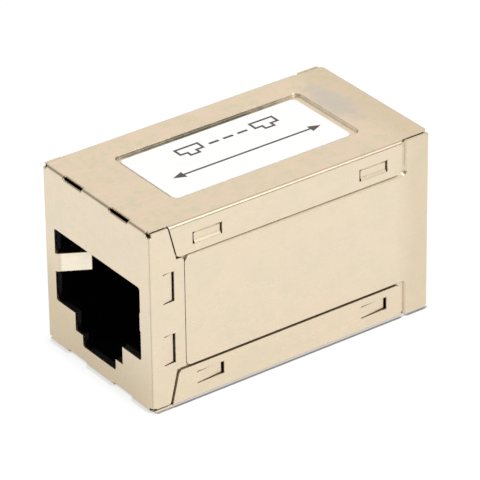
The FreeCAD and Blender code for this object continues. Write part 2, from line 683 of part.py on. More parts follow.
# ---- spring contacts ------------------------------------------------------------------
def contact(index):
    """Spring contact of the front port; odd ones leave through the upper row."""
    x = contact_x(index)
    upper = index % 2 == 1
    tail_end = HALF_L + BOARD_THICK / 2 + TAIL_OUT
    riser = HOUSING_END - TAIL_RISER
    corner = CONTACT_BEND_IN + CONTACT_THICK / 2
    hairpin = [("bend", 180 - SPRING_DROOP), ("run", SPRING_ARM)]
    if upper:
        steps = [("run", tail_end - riser - corner), ("bend", 90),
                 ("run", ROW_RISE - 2 * corner), ("bend", -90),
                 ("run", riser - corner - HAIRPIN_DEPTH)]
    else:
        steps = [("run", tail_end - HAIRPIN_DEPTH)]
    start = (FRONT + tail_end, ROW_Z[1] if upper else ROW_Z[0])
    return spring(start, steps, hairpin, x)


def spring(start, steps, hairpin, x):
    """Stamped spring: its straight part and hairpin have different bend radii."""
    half = CONTACT_W / 2
    straight = bent_strip(start, 180, steps, CONTACT_THICK, CONTACT_BEND_IN, "x", x - half, x + half)
    nose = (FRONT + HAIRPIN_DEPTH, CONTACT_Z)
    arm = bent_strip(nose, 180, hairpin, CONTACT_THICK, HAIRPIN_IN, "x", x - half, x + half)
    return join([straight, arm])


# ---- circuit board and label -----------------------------------------------------------
def circuit_board():
    """Board between the jacks, drilled for both rows of tails of both jacks."""
    board = block(-BOARD_HALF_W, BOARD_HALF_W, -BOARD_THICK / 2, BOARD_THICK / 2,
                  BOARD_BOTTOM_GAP, HEIGHT - BOARD_TOP_GAP)
    holes = [Part.makeCylinder(BOARD_HOLE_R, 2 * BOARD_THICK,
                               V(contact_x(index), -BOARD_THICK, level), V(0, 1, 0))
             for index in range(1, CONTACTS + 1) for level in ROW_Z]
    return board.cut(holes)


def label():
    flat_half_w, flat_half_l = FIELD_W / 2 - FIELD_RUN, FIELD_L / 2 - FIELD_RUN
    left, right = LABEL_LEFT_GAP - flat_half_w, flat_half_w - LABEL_GAP
    front, rear = LABEL_GAP - flat_half_l, flat_half_l - LABEL_REAR_GAP
    floor = HEIGHT - FIELD_SINK
    corner = FIELD_CORNER - FIELD_RUN
    outline = [(FIELD_SHIFT_X + x, FIELD_SHIFT_Y + y, corner)
               for x, y in ((left, front), (right, front), (right, rear), (left, rear))]
    return prism(outline, "z", floor, floor + LABEL_THICK)


# ---- all nodes ------------------------------------------------------------------------
def nodes():
    parts = {
        "front_shell": front_shell(),
        "rear_shell": rear_shell(),
        "label": label(),
        "circuit_board": circuit_board(),
        "front_jack_housing": housing(),
        "front_contact_carrier": carrier(),
    }
    for index in range(1, CONTACTS + 1):
        parts["front_contact_%d" % index] = contact(index)
    for name in [n for n in parts if n.startswith("front_") and n != "front_shell"]:
        parts[name.replace("front_", "rear_", 1)] = turned_round(parts[name])
    return parts


os.makedirs("parts", exist_ok=True)
for name, shape in nodes().items():
    solids = shape.Solids
    print("%-24s solids %d valid %s volume %.2f" % (name, len(solids), shape.isValid(), shape.Volume))
    solid = solids[0] if len(solids) == 1 else Part.makeCompound(solids)
    solid.exportStep("parts/%s.step" % name)
print("overall %.2f x %.2f x %.2f" % (WIDTH, LENGTH, HEIGHT))
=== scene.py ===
# %% [markdown]
# # Shielded RJ45 inline coupler
#
# The real coupler is a small folded metal box with a jack at each end. Two sheets of
# thin plated steel wrap two black moulded jacks, and a white label sits in a shallow
# field pressed into the top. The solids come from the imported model, so this lesson is
# about finish: plating, label film, ink, moulded plastic and gold, and the light they
# need.
#
# The first step loads the frame. Everything is in metres, with the origin under the
# middle of the coupler, the front port facing -Y and the label on top.

# %% Load the frame and keep its box
import math

import bmesh
import bpy
from mathutils import Matrix, Vector


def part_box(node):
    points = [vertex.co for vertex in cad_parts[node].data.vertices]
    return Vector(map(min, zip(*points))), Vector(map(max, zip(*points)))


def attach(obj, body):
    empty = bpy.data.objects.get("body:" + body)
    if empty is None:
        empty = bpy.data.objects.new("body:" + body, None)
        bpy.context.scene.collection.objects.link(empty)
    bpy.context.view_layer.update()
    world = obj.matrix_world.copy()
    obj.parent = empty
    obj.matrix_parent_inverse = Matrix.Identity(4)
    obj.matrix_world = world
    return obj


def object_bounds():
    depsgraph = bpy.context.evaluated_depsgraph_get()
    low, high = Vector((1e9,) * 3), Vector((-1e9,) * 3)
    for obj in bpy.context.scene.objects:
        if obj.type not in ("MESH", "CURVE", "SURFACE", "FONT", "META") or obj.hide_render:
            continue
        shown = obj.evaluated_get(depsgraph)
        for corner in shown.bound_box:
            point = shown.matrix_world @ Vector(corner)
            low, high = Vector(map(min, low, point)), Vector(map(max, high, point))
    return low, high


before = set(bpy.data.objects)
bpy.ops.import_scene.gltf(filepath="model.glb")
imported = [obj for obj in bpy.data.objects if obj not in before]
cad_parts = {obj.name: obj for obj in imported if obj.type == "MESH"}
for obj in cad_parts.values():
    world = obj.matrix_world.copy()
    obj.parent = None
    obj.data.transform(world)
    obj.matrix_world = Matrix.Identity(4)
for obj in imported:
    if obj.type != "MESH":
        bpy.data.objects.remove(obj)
cad_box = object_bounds()
box_low, box_high = cad_box
label_low, label_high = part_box("label")
MM = 0.001
print("nodes:", len(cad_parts))
print("size in mm:", [round(side / MM, 2) for side in box_high - box_low])

# %% [markdown]
# ## A shorthand for shader nodes
#
# A material is a small graph of nodes. Writing each node and each link on its own line
# hides the idea behind the wiring, so one helper adds a node, sets its plain values and
# plugs in whatever sockets it is given. The other helpers are the few steps that every
# finish is built from: arithmetic, blends, and stretches of one value into another.
#
# Colours are written the way a colour picker shows them, and turned into the linear
# values that the renderer works with.


# %% Node helpers
def add(tree, kind, inputs=None, **settings):
    """Add a node; inputs maps socket names or numbers to values or to other sockets."""
    node = tree.nodes.new(kind)
    for name, value in settings.items():
        setattr(node, name, value)
    for name, value in (inputs or {}).items():
        if isinstance(value, bpy.types.NodeSocket):
            tree.links.new(value, node.inputs[name])
        else:
            node.inputs[name].default_value = value
    return node


def arithmetic(tree, operation, *values):
    """Result of one step of arithmetic on numbers or sockets."""
    return add(tree, "ShaderNodeMath", dict(enumerate(values)), operation=operation).outputs[0]


def on_vectors(tree, operation, *values):
    """Outputs of one step on vectors: Vector, or Value where the result is one number."""
    node = add(tree, "ShaderNodeVectorMath", dict(enumerate(values)), operation=operation)
    return node.outputs


def split_xyz(tree, vector):
    """The X, Y and Z of a vector, by name."""
    return add(tree, "ShaderNodeSeparateXYZ", {"Vector": vector}).outputs


def picked(red, green, blue):
    """Linear colour from the 0 to 255 values of a colour picker."""
    shares = [c / 255 for c in (red, green, blue)]
    linear = [s / 12.92 if s <= 0.04045 else ((s + 0.055) / 1.055) ** 2.4 for s in shares]
    return (*linear, 1.0)


def blend_colours(tree, share, first, second):
    """Mix two colours; share 0 gives the first.

    The Mix node has sockets for each kind of data. Inputs 6 and 7 and output 2 are the
    ones for colours.
    """
    mix = add(tree, "ShaderNodeMix", {0: share, 6: first, 7: second}, data_type="RGBA")
    return mix.outputs[2]


def spread(tree, value, low, high, out_low=0.0, out_high=1.0):
    """Stretch the part of a value between low and high, with soft ends.

    Where low is above high, the result falls as the value rises.
    """
    stretch = add(tree, "ShaderNodeMapRange", {
        "Value": value, "From Min": low, "From Max": high, "To Min": out_low, "To Max": out_high,
    }, interpolation_type="SMOOTHSTEP")
    return stretch.outputs["Result"]


print("mid grey of a colour picker, linear:", round(picked(128, 128, 128)[0], 3))


# %% An empty finish and its coordinates
def surface(name):
    """An empty material with a Principled surface; gives the material, tree and shader."""
    material = bpy.data.materials.new(name)
    material.use_nodes = True
    tree = material.node_tree
    tree.nodes.clear()
    output = add(tree, "ShaderNodeOutputMaterial")
    shader = add(tree, "ShaderNodeBsdfPrincipled")
    tree.links.new(shader.outputs["BSDF"], output.inputs["Surface"])
    return material, tree, shader


def millimetres(tree):
    """Object coordinates, scaled so that pattern sizes can be given in millimetres."""
    coordinates = add(tree, "ShaderNodeTexCoord").outputs["Object"]
    scaled = add(tree, "ShaderNodeVectorMath", {0: coordinates, "Scale": 1 / MM},
                 operation="SCALE")
    return scaled.outputs["Vector"]


print("a finish starts empty, and its patterns are", round(1 / MM), "units to the metre")

# %% [markdown]
# ## Grain
#
# Three effects are shared by several finishes, so each is made once, as a group of
# nodes. The first is grain, the fine unevenness that every real surface has. It could
# be painted as an image, but two layers of noise are enough, and they stay sharp at any
# distance. The coarse layer makes slow patches and the fine layer makes the tooth of
# the surface. A stretch along one axis turns the grain into the faint lines of rolled
# sheet.


# %% Grain group
NUMBER, VECTOR = "NodeSocketFloat", "NodeSocketVector"
PATCH_DETAIL, GRAIN_DETAIL, NOISE_ROUGHNESS = 3.0, 2.0, 0.55


def new_group(name, inputs, outputs):
    """Shader node group; inputs and outputs map the names of sockets to their kinds."""
    group = bpy.data.node_groups.new(name, "ShaderNodeTree")
    for way, sockets in (("INPUT", inputs), ("OUTPUT", outputs)):
        for socket, kind in sockets.items():
            group.interface.new_socket(socket, in_out=way, socket_type=kind)
    entry = group.nodes.new("NodeGroupInput").outputs
    leave = group.nodes.new("NodeGroupOutput").inputs
    return group, entry, leave


def make_grain_group():
    group, entry, leave = new_group(
        "grain",
        {"Point": VECTOR, "Patch Size": NUMBER, "Grain Size": NUMBER, "Stretch": NUMBER},
        {"Patches": NUMBER, "Grain": NUMBER})
    along = arithmetic(group, "DIVIDE", 1.0, entry["Stretch"])
    squeeze = add(group, "ShaderNodeCombineXYZ", {"X": 1.0, "Y": along, "Z": 1.0})
    stretched = on_vectors(group, "MULTIPLY", entry["Point"], squeeze.outputs["Vector"])
    for size, output, detail, point in (
            ("Patch Size", "Patches", PATCH_DETAIL, entry["Point"]),
            ("Grain Size", "Grain", GRAIN_DETAIL, stretched["Vector"])):
        rate = arithmetic(group, "DIVIDE", 1.0, entry[size])
        noise = add(group, "ShaderNodeTexNoise", {
            "Vector": point, "Scale": rate, "Detail": detail, "Roughness": NOISE_ROUGHNESS,
        })
        group.links.new(noise.outputs["Fac"], leave[output])
    return group


grain_group = make_grain_group()


def grain(tree, point, patch, fine, stretch=1.0):
    """Patches and Grain, each 0 to 1, with their sizes in millimetres."""
    node = add(tree, "ShaderNodeGroup", {
        "Point": point, "Patch Size": patch, "Grain Size": fine, "Stretch": stretch,
    }, node_tree=grain_group)
    return node.outputs["Patches"], node.outputs["Grain"]


print("group:", grain_group.name)

# %% [markdown]
# ## Edges
#
# The second effect is edges, where plating is rubbed and where a finish paints a highlight
# or a shade along its corners. The Bevel node looks at the surface round each point, so its
# normal differs from the true one only near an edge. That difference is the mask, and a
# second Bevel node with a smaller radius gives the normal that rounds the edge off.


# %% Edge group
ROUNDING_RADIUS, EDGE_REACH_RADIUS = 0.08 * MM, 0.12 * MM
# Cosines between the two normals where the edge mask starts and where it is full.
EDGE_STARTS, EDGE_FULL = 0.99, 0.75


def make_edge_group():
    group, entry, leave = new_group(
        "edge_mask_and_rounding", {"Break Up": NUMBER}, {"Mask": NUMBER, "Normal": VECTOR})
    rounding = add(group, "ShaderNodeBevel", {"Radius": ROUNDING_RADIUS}, samples=6)
    reach = add(group, "ShaderNodeBevel", {"Radius": EDGE_REACH_RADIUS}, samples=4)
    true_normal = add(group, "ShaderNodeNewGeometry").outputs["True Normal"]
    facing = on_vectors(group, "DOT_PRODUCT", reach.outputs["Normal"], true_normal)
    near_edge = spread(group, facing["Value"], EDGE_STARTS, EDGE_FULL)
    broken = arithmetic(group, "MULTIPLY", near_edge, entry["Break Up"])
    group.links.new(broken, leave["Mask"])
    group.links.new(rounding.outputs["Normal"], leave["Normal"])
    return group


edge_group = make_edge_group()


def edge_mask_and_rounding(tree, break_up):
    """Mask of the edges, broken up by a pattern, and the rounded normal."""
    node = add(tree, "ShaderNodeGroup", {"Break Up": break_up}, node_tree=edge_group)
    return node.outputs["Mask"], node.outputs["Normal"]


print("group:", edge_group.name)

# %% [markdown]
# ## Crevices and relief
#
# The third effect is crevices, the seams and slots where plating is thin, dust gathers
# and little light gets out again, and where shade is painted into the colour. The Ambient
# Occlusion node measures how open the view from a point is close by, so a low value is
# just what makes a crevice. Two levels tell the foot of a shallow step, with its pale line
# of dust and painted shade, from a deep slot painted dark as shade. How closed a place must
# be to count as deep is an input, since it differs between pieces.
#
# Relief turns a pattern into small real depths. Giving the depth in millimetres keeps
# every finish within what its process leaves on the part.


# %% Crevice group and relief
SHALLOW_STARTS, SHALLOW_FULL = 0.93, 0.62
# A slot is fully dark where its openness is down to this share of the deep level.
FULLY_DEEP = 0.75


def make_crevice_group():
    group, entry, leave = new_group(
        "crevices", {"Reach": NUMBER, "Deep Level": NUMBER},
        {"Shallow": NUMBER, "Deep": NUMBER})
    occlusion = add(group, "ShaderNodeAmbientOcclusion", {"Distance": entry["Reach"]}, samples=8)
    openness = occlusion.outputs["AO"]
    closed = arithmetic(group, "MULTIPLY", entry["Deep Level"], FULLY_DEEP)
    shallow = spread(group, openness, SHALLOW_STARTS, SHALLOW_FULL)
    deep = spread(group, openness, entry["Deep Level"], closed)
    group.links.new(shallow, leave["Shallow"])
    group.links.new(deep, leave["Deep"])
    return group


crevice_group = make_crevice_group()


def crevices(tree, reach_mm, deep_level=0.6):
    """Masks of the shallow corners and of the deep slots that are within a reach."""
    node = add(tree, "ShaderNodeGroup", {"Reach": reach_mm * MM, "Deep Level": deep_level},
               node_tree=crevice_group)
    return node.outputs["Shallow"], node.outputs["Deep"]


def relief(tree, height, depth_mm, normal=None):
    """Bump of a real depth, on top of another normal where one is given."""
    inputs = {"Height": height, "Distance": depth_mm * MM}
    if normal is not None:
        inputs["Normal"] = normal
    return add(tree, "ShaderNodeBump", inputs).outputs["Normal"]


print("group:", crevice_group.name)

# %% [markdown]
# ## Marks on the plated shield
#
# Both shells are cut from nickel-plated sheet with a warm, champagne cast. Even plating
# would look like a drawing, so it carries marks of making and use, and painted light and shade:
#
# - painted shade low down, strongest at the front and on its left, and at the far end
# - a dull oval where a thumb has rested behind the label
# - a grey line of painted shade in the step along the label's left side
# - painted shade on the slopes where the press has formed a dent or a step in the sides, which
#   mutes their highlight
# - painted light on the springs inside the ports, which makes them brighter
#
# They could be painted by hand on an unwrapped surface. Here each is a mask, worked out
# from where a point lies and which way the surface faces there. The masks are placed
# from the boxes of the coupler and its label, so they follow the part if it changes
# size. Distances below are in millimetres.


# %% Masks of the marks
# Corners of the coupler's box in millimetres.
top, base = box_high / MM, box_low / MM


def oval_mask(tree, point, centre, half_size, wobble):
    """Soft oval on the surface, 1 inside and 0 outside; wobble is a pattern for its rim."""
    rim, inside = 1.75, 0.85
    shifted = on_vectors(tree, "SUBTRACT", point, centre)["Vector"]
    scaled = on_vectors(tree, "DIVIDE", shifted, half_size)["Vector"]
    away = on_vectors(tree, "LENGTH", scaled)["Value"]
    return spread(tree, arithmetic(tree, "ADD", away, wobble), rim, inside)


def thumb_mask(tree, point, wobble):
    """Oval on the top, between the label and the far end."""
    centre = (-1.2, top.y - 3.2, top.z)
    return oval_mask(tree, point, centre, (3.9, 1.7, 0.6), wobble)


def step_shade_mask(tree, point, wobble):
    """Long thin oval of painted shade in the step along the left side of the label."""
    middle_y = (label_low.y + label_high.y) / 2 / MM
    centre = (label_low.x / MM - 0.35, middle_y - 0.5, top.z - 0.15)
    return oval_mask(tree, point, centre, (0.6, 11.0, 0.12), wobble)


def low_shade_mask(tree, axes, normal):
    """Painted shade low down and at the far end; its upper limit rises to the left, so the
    height is made to lean.
    """
    limit, full_below, lean = 7.0, 0.5, 0.55
    elsewhere, on_front, at_far_end = 0.12, 0.7, 0.42
    leftwards = arithmetic(tree, "MINIMUM", axes["X"], 0.0)
    leaning = arithmetic(tree, "MULTIPLY_ADD", leftwards, lean, axes["Z"])
    low = spread(tree, leaning, base.z + limit, base.z + full_below)
    facing_front = spread(tree, normal["Y"], -0.5, -0.9, elsewhere, on_front)
    low_down = arithmetic(tree, "MULTIPLY", low, facing_front)
    far_end = spread(tree, axes["Y"], top.y - 4.0, top.y - 1.0, 0.0, at_far_end)
    return arithmetic(tree, "MAXIMUM", low_down, far_end)


def slope_shade_mask(tree, axes, normal):
    """Painted shade on pressed slopes, which face partly upwards and lie below the fold along
    the top; it mutes their highlight.
    """
    tilted = spread(tree, normal["Z"], 0.15, 0.4)
    below_fold = spread(tree, axes["Z"], top.z - 0.9, top.z - 1.4)
    return arithmetic(tree, "MULTIPLY", tilted, below_fold)


def spring_light_mask(tree, axes, normal):
    """Painted light on the springs, which face sideways, inside the skin of the sides, the ends
    and the top.
    """
    across, along, sideways = (
        arithmetic(tree, "ABSOLUTE", part) for part in (axes["X"], axes["Y"], normal["X"]))
    lit_springs = spread(tree, sideways, 0.5, 0.8)
    for distance, skin, inside in ((across, top.x - 0.7, top.x - 1.1),
                                   (along, top.y - 0.2, top.y - 0.45),
                                   (axes["Z"], top.z - 0.9, top.z - 1.2)):
        lit_springs = arithmetic(tree, "MULTIPLY", lit_springs, spread(tree, distance, skin, inside))
    return lit_springs


print("box of the marks in mm:", [round(c, 1) for c in base], [round(c, 1) for c in top])

# %% [markdown]
# ## Plated shield
#
# Plating is a metal, so nearly all of its look is what it reflects, and its colour only
# tints that. Under the marks it needs slow patches where it is a little warmer or
# greener, and a fine satin tooth that spreads the reflections. The marks, painted light
# and shade among them, are then laid over it one by one. The springs come last, and the
# light painted on them covers the rest.
#
# Dust, with the shade painted along with it in the shallow corners, isn't metal, so it takes
# the Metallic value down as well. The deep slots are painted dark as shade, brown in the front
# shell and near black in the rear shell's long seams, so each shell has its own colour for its
# slots.


# %% Plating material
def plated_colour(tree, patches, tints, upward):
    """Champagne nickel in slow patches; the top shows most of the rosy and green blotches."""
    colour = blend_colours(tree, spread(tree, patches, 0.36, 0.64),
                           picked(238, 222, 197), picked(234, 220, 196))
    blotchy = spread(tree, upward, 0.5, 0.9, 0.25, 0.8)
    rosy, greenish = picked(242, 218, 200), picked(227, 217, 188)
    for starts, full, tint in ((0.5, 0.68, rosy), (0.5, 0.34, greenish)):
        blotch = arithmetic(tree, "MULTIPLY", spread(tree, tints, starts, full), blotchy)
        colour = blend_colours(tree, blotch, colour, tint)
    return colour


def make_plating(name, slot_shade, deep_level):
    material, tree, shader = surface(name)
    point = millimetres(tree)
    axes = split_xyz(tree, point)
    normal = split_xyz(tree, add(tree, "ShaderNodeNewGeometry").outputs["True Normal"])
    patches, tooth = grain(tree, point, patch=2.6, fine=0.09)
    tints, rolling = grain(tree, point, patch=0.9, fine=0.22, stretch=9.0)

    thumb = thumb_mask(tree, point, tints)
    lit_springs = spring_light_mask(tree, axes, normal)
    edge, rounded = edge_mask_and_rounding(tree, spread(tree, tooth, 0.3, 0.7, 0.2, 0.6))
    shallow, deep = crevices(tree, reach_mm=0.6, deep_level=deep_level)
    crevice_tone_most = 0.3
    dust_and_shade = spread(tree, shallow, 0.0, 1.0, 0.0, crevice_tone_most)
    marks = (
        # Painted shade: darker low down, on the front and its left, and at the far end.
        (low_shade_mask(tree, axes, normal), picked(213, 196, 165)),
        (thumb, picked(218, 209, 196)),
        # Painted shade: a grey line in the step along the label's left side.
        (step_shade_mask(tree, point, tints), picked(112, 107, 94)),
        # Painted shade that mutes the highlight on the pressed slopes.
        (slope_shade_mask(tree, axes, normal), picked(210, 196, 172)),
        # Partly worn plating and partly a painted highlight: the edges are lighter.
        (edge, picked(246, 236, 214)),
        # Dust and painted shade: the foot of each shallow step is darker and less metallic.
        (dust_and_shade, picked(224, 211, 188)),
        # Painted shade: the deep slots take a dark colour.
        (deep, slot_shade),
        # Painted light: the springs inside the ports are lighter.
        (lit_springs, picked(255, 244, 222)),
    )
    colour = plated_colour(tree, patches, tints, normal["Z"])
    for mask, mark_colour in marks:
        colour = blend_colours(tree, mask, colour, mark_colour)
    tree.links.new(colour, shader.inputs["Base Color"])

    # Dust and the shade painted with it are no metal, thumb marks are duller, and the springs
    # with painted light are smoother.
    duller, smoother = 0.05, -0.12
    tree.links.new(spread(tree, dust_and_shade, 0.0, 1.0, 1.0, 0.0), shader.inputs["Metallic"])
    satin, dull_satin = 0.27, 0.33
    rolled_satin = spread(tree, rolling, 0.3, 0.7, satin, dull_satin)
    dulled = arithmetic(tree, "MULTIPLY_ADD", thumb, duller, rolled_satin)
    polished = arithmetic(tree, "MULTIPLY_ADD", lit_springs, smoother, dulled)
    tree.links.new(polished, shader.inputs["Roughness"])
    rolled = relief(tree, rolling, depth_mm=0.0015, normal=rounded)
    satin_tooth = relief(tree, tooth, depth_mm=0.001, normal=rolled)
    tree.links.new(satin_tooth, shader.inputs["Normal"])
    return material


# Painted shade for the deep slots: brown on the front shell, near black on the rear shell.
brown_slot_shade, black_slot_shade = picked(150, 132, 106), picked(34, 25, 17)
front_plating = make_plating("front_shield_plating", brown_slot_shade, deep_level=0.5)
rear_plating = make_plating("rear_shield_plating", black_slot_shade, deep_level=0.4)
print("made", front_plating.name, rear_plating.name)

# %% [markdown]
# ## Label and its ink
#
# The label is white coated film. Under a lamp it is matte, with a faint fibre that shows
# only at a low angle, and its cut edge is painted a touch greyer, as shade. The ink is a dark
# warm grey that sits on the film in a thin even coat, with a few paler specks where it took
# badly.


# %% Label and ink materials
def make_label_film():
    material, tree, shader = surface("label_film")
    patches, fibre = grain(tree, millimetres(tree), patch=2.5, fine=0.06, stretch=3.0)
    cool_white, warm_white, shaded_cut_edge = (
        picked(250, 250, 249), picked(252, 251, 249), picked(225, 220, 210))
    colour = blend_colours(tree, spread(tree, patches, 0.3, 0.7), cool_white, warm_white)
    edge, rounded = edge_mask_and_rounding(tree, spread(tree, fibre, 0.3, 0.7, 0.3, 0.7))
    # Painted shade: the cut edge is greyer.
    colour = blend_colours(tree, edge, colour, shaded_cut_edge)
    tree.links.new(colour, shader.inputs["Base Color"])
    tree.links.new(spread(tree, fibre, 0.2, 0.8, 0.42, 0.55), shader.inputs["Roughness"])
    tree.links.new(relief(tree, fibre, depth_mm=0.0015, normal=rounded), shader.inputs["Normal"])
    return material


def make_ink():
    material, tree, shader = surface("label_ink")
    patches, speckle = grain(tree, millimetres(tree), patch=0.9, fine=0.05)
    thick_ink, thin_ink, bare_speck = (
        picked(76, 71, 69), picked(88, 82, 79), picked(120, 114, 110))
    colour = blend_colours(tree, spread(tree, patches, 0.3, 0.7), thick_ink, thin_ink)
    colour = blend_colours(tree, spread(tree, speckle, 0.68, 0.78), colour, bare_speck)
    tree.links.new(colour, shader.inputs["Base Color"])
    tree.links.new(spread(tree, speckle, 0.3, 0.7, 0.45, 0.6), shader.inputs["Roughness"])
    tree.links.new(relief(tree, speckle, depth_mm=0.001), shader.inputs["Normal"])
    return material


label_film = make_label_film()
ink = make_ink()
print("made", label_film.name, ink.name)

# %% [markdown]
# ## Moulded plastics
#
# The jack housings are glossy black, moulded in a polished tool, and their lips are painted
# with a faint blue-grey line of highlight. The contact carriers are a duller black with glass
# fibre in it, which comes to the surface as a mottled sheen. One recipe makes both, with its
# own colours, gloss and grain. The plastic is nearly black, so even a weak reflection
# would grey it, and its Specular IOR Level is kept low.


# %% Plastic materials
LIP_HIGHLIGHT = picked(13, 15, 20)
WEAK_REFLECTION = 0.12


def make_plastic(name, dark, light, gloss, dull, patch, fine, depth_mm):
    material, tree, shader = surface(name)
    patches, tooth = grain(tree, millimetres(tree), patch=patch, fine=fine)
    colour = blend_colours(tree, spread(tree, patches, 0.35, 0.65), dark, light)
    edge, rounded = edge_mask_and_rounding(tree, spread(tree, tooth, 0.3, 0.7, 0.2, 0.8))
    # Painted highlight: the lips are lighter and bluer than the body.
    colour = blend_colours(tree, edge, colour, LIP_HIGHLIGHT)
    tree.links.new(colour, shader.inputs["Base Color"])
    tree.links.new(spread(tree, tooth, 0.3, 0.7, gloss, dull), shader.inputs["Roughness"])
    shader.inputs["Specular IOR Level"].default_value = WEAK_REFLECTION
    tree.links.new(relief(tree, tooth, depth_mm, rounded), shader.inputs["Normal"])
    return material


black_housing = make_plastic(
    "black_housing", dark=picked(3, 3, 4), light=picked(7, 7, 9),
    gloss=0.22, dull=0.32, patch=1.8, fine=0.12, depth_mm=0.002)
carrier_black = make_plastic(
    "contact_carrier", dark=picked(16, 16, 17), light=picked(27, 27, 29),
    gloss=0.38, dull=0.55, patch=0.5, fine=0.07, depth_mm=0.004)
print("made", black_housing.name, carrier_black.name)

# %% [markdown]
# ## Gold contacts and the circuit board
#
# The springs are flash gold over nickel: a strong metal colour that goes paler in
# patches, with fine lines along the strip from stamping. The board is green laminate,
# and its woven glass shows through the varnish as a faint basket pattern. Two crossed
# waves make the weave, one for each direction of the yarn.


# %% Gold and laminate materials
def make_gold():
    material, tree, shader = surface("contact_gold")
    patches, drawn = grain(tree, millimetres(tree), patch=0.8, fine=0.05, stretch=12.0)
    rich_gold, pale_gold, edge_highlight = (
        picked(232, 190, 108), picked(240, 208, 140), picked(250, 228, 178))
    colour = blend_colours(tree, spread(tree, patches, 0.35, 0.7), rich_gold, pale_gold)
    edge, rounded = edge_mask_and_rounding(tree, spread(tree, drawn, 0.3, 0.7, 0.1, 0.6))
    # Painted highlight: the edges are paler, brighter gold.
    colour = blend_colours(tree, edge, colour, edge_highlight)
    tree.links.new(colour, shader.inputs["Base Color"])
    shader.inputs["Metallic"].default_value = 1.0
    tree.links.new(spread(tree, drawn, 0.3, 0.7, 0.18, 0.3), shader.inputs["Roughness"])
    tree.links.new(relief(tree, drawn, depth_mm=0.001, normal=rounded), shader.inputs["Normal"])
    return material


def make_laminate():
    material, tree, shader = surface("board_laminate")
    point = millimetres(tree)
    patches, speckle = grain(tree, point, patch=2.0, fine=0.08)
    warp, weft = (
        add(tree, "ShaderNodeTexWave", {"Vector": point, "Scale": 0.6, "Distortion": 0.6},
            wave_type="BANDS", bands_direction=axis).outputs["Fac"] for axis in "XZ")
    weave = arithmetic(tree, "MULTIPLY", warp, weft)
    dark_green, light_green, glass = (
        picked(18, 74, 44), picked(24, 88, 52), picked(44, 112, 66))
    colour = blend_colours(tree, spread(tree, patches, 0.3, 0.7), dark_green, light_green)
    colour = blend_colours(tree, spread(tree, weave, 0.4, 1.0, 0.0, 0.4), colour, glass)
    tree.links.new(colour, shader.inputs["Base Color"])
    tree.links.new(spread(tree, speckle, 0.3, 0.7, 0.26, 0.38), shader.inputs["Roughness"])
    tree.links.new(relief(tree, weave, depth_mm=0.01), shader.inputs["Normal"])
    return material


gold = make_gold()
laminate = make_laminate()
print("made", gold.name, laminate.name)

# %% [markdown]
# ## Dress the solids
#
# Each node of the model keeps its mesh and only changes its material. The names of the
# nodes say what they are, so a short list of endings is enough to sort them. What is
# left over are the contacts, which are gold.


# %% Assign the finishes
finishes = {
    "front_shell": front_plating,
    "rear_shell": rear_plating,
    "label": label_film,
    "circuit_board": laminate,
    "jack_housing": black_housing,
    "contact_carrier": carrier_black,
}
for name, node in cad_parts.items():
    matches = [material for ending, material in finishes.items() if name.endswith(ending)]
    node.data.materials.clear()
    node.data.materials.append(matches[0] if matches else gold)
    print(name, "->", node.data.materials[0].name)

# %% [markdown]
# ## Print on the label
#
# The print is a plain pictogram: two ports joined by a line, and under it a long arrow
# with a head at each end. It could be painted into the film's material, but ink that is
# its own thin solid keeps a crisp edge and stays with the model when it is exported.
#
# A shape starts as one flat face on the label, and extruding it gives the ink its
# thickness. The extrusion of an open mesh adds only walls and a top, so the first face
# stays as the underside and the coat is closed.


# %% Ink helpers
INK_THICK = 0.01 * MM
LINE = 0.26 * MM
print("label in mm:", [round(side / MM, 2) for side in label_high - label_low])


def on_label(reading, upward):
    """Point on the label from distances along the line of reading and up the letters."""
    middle = (label_low + label_high) / 2
    return Vector((middle.x - upward, middle.y + reading, label_high.z))


def flat_shape(bm, points):
    """One flat face through points given as (reading, upward) on the label."""
    return bm.faces.new([bm.verts.new(on_label(*point)) for point in points])


def finish_print(bm, name):
    """Thicken flat faces into a closed coat of ink and make it a piece of the coupler."""
    grown = bmesh.ops.extrude_face_region(bm, geom=list(bm.faces))["geom"]
    raised = [item for item in grown if isinstance(item, bmesh.types.BMVert)]
    bmesh.ops.translate(bm, verts=raised, vec=(0, 0, INK_THICK))
    bmesh.ops.recalc_face_normals(bm, faces=bm.faces)
    mesh = bpy.data.meshes.new(name)
    bm.to_mesh(mesh)
    bm.free()
    mesh.materials.append(ink)
    piece = bpy.data.objects.new(name, mesh)
    bpy.context.scene.collection.objects.link(piece)
    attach(piece, "root")
    print(name, "has", len(mesh.polygons), "faces")


# %% [markdown]
# ### Two ports and the line that joins them
#
# Each port is drawn as the stepped opening that a plug goes into, latch side down. It
# is an outline, so its face is inset first, which leaves a frame, and the middle is
# deleted to open it. Three dashes between the ports stand for the wires.


# %% Port outlines and dashes
ROW_UP = 1.9 * MM
PORT_CENTRES = (-3.2 * MM, 4.4 * MM)
OUTLINE = LINE * 0.85
DASHES, DASH_START, DASH_PITCH, DASH_LONG = 3, -1.35 * MM, 1.45 * MM, 1.0 * MM


def port_frame(bm, centre, up):
    """Stepped outline of a port, latch side down, as a frame of one line's width."""
    half_w, high, step_w, step = 1.25 * MM, 0.8 * MM, 0.55 * MM, 0.5 * MM
    face = flat_shape(bm, [
        (centre - half_w, up - high + step), (centre - step_w, up - high + step),
        (centre - step_w, up - high), (centre + step_w, up - high),
        (centre + step_w, up - high + step), (centre + half_w, up - high + step),
        (centre + half_w, up + high), (centre - half_w, up + high),
    ])
    face.normal_update()
    bmesh.ops.inset_region(bm, faces=[face], thickness=OUTLINE, use_boundary=True,
                           use_even_offset=True)
    bmesh.ops.delete(bm, geom=[face], context="FACES_ONLY")


def bar(bm, start, end, up, width):
    """Straight line along the reading direction."""
    flat_shape(bm, [(start, up - width / 2), (end, up - width / 2),
                    (end, up + width / 2), (start, up + width / 2)])


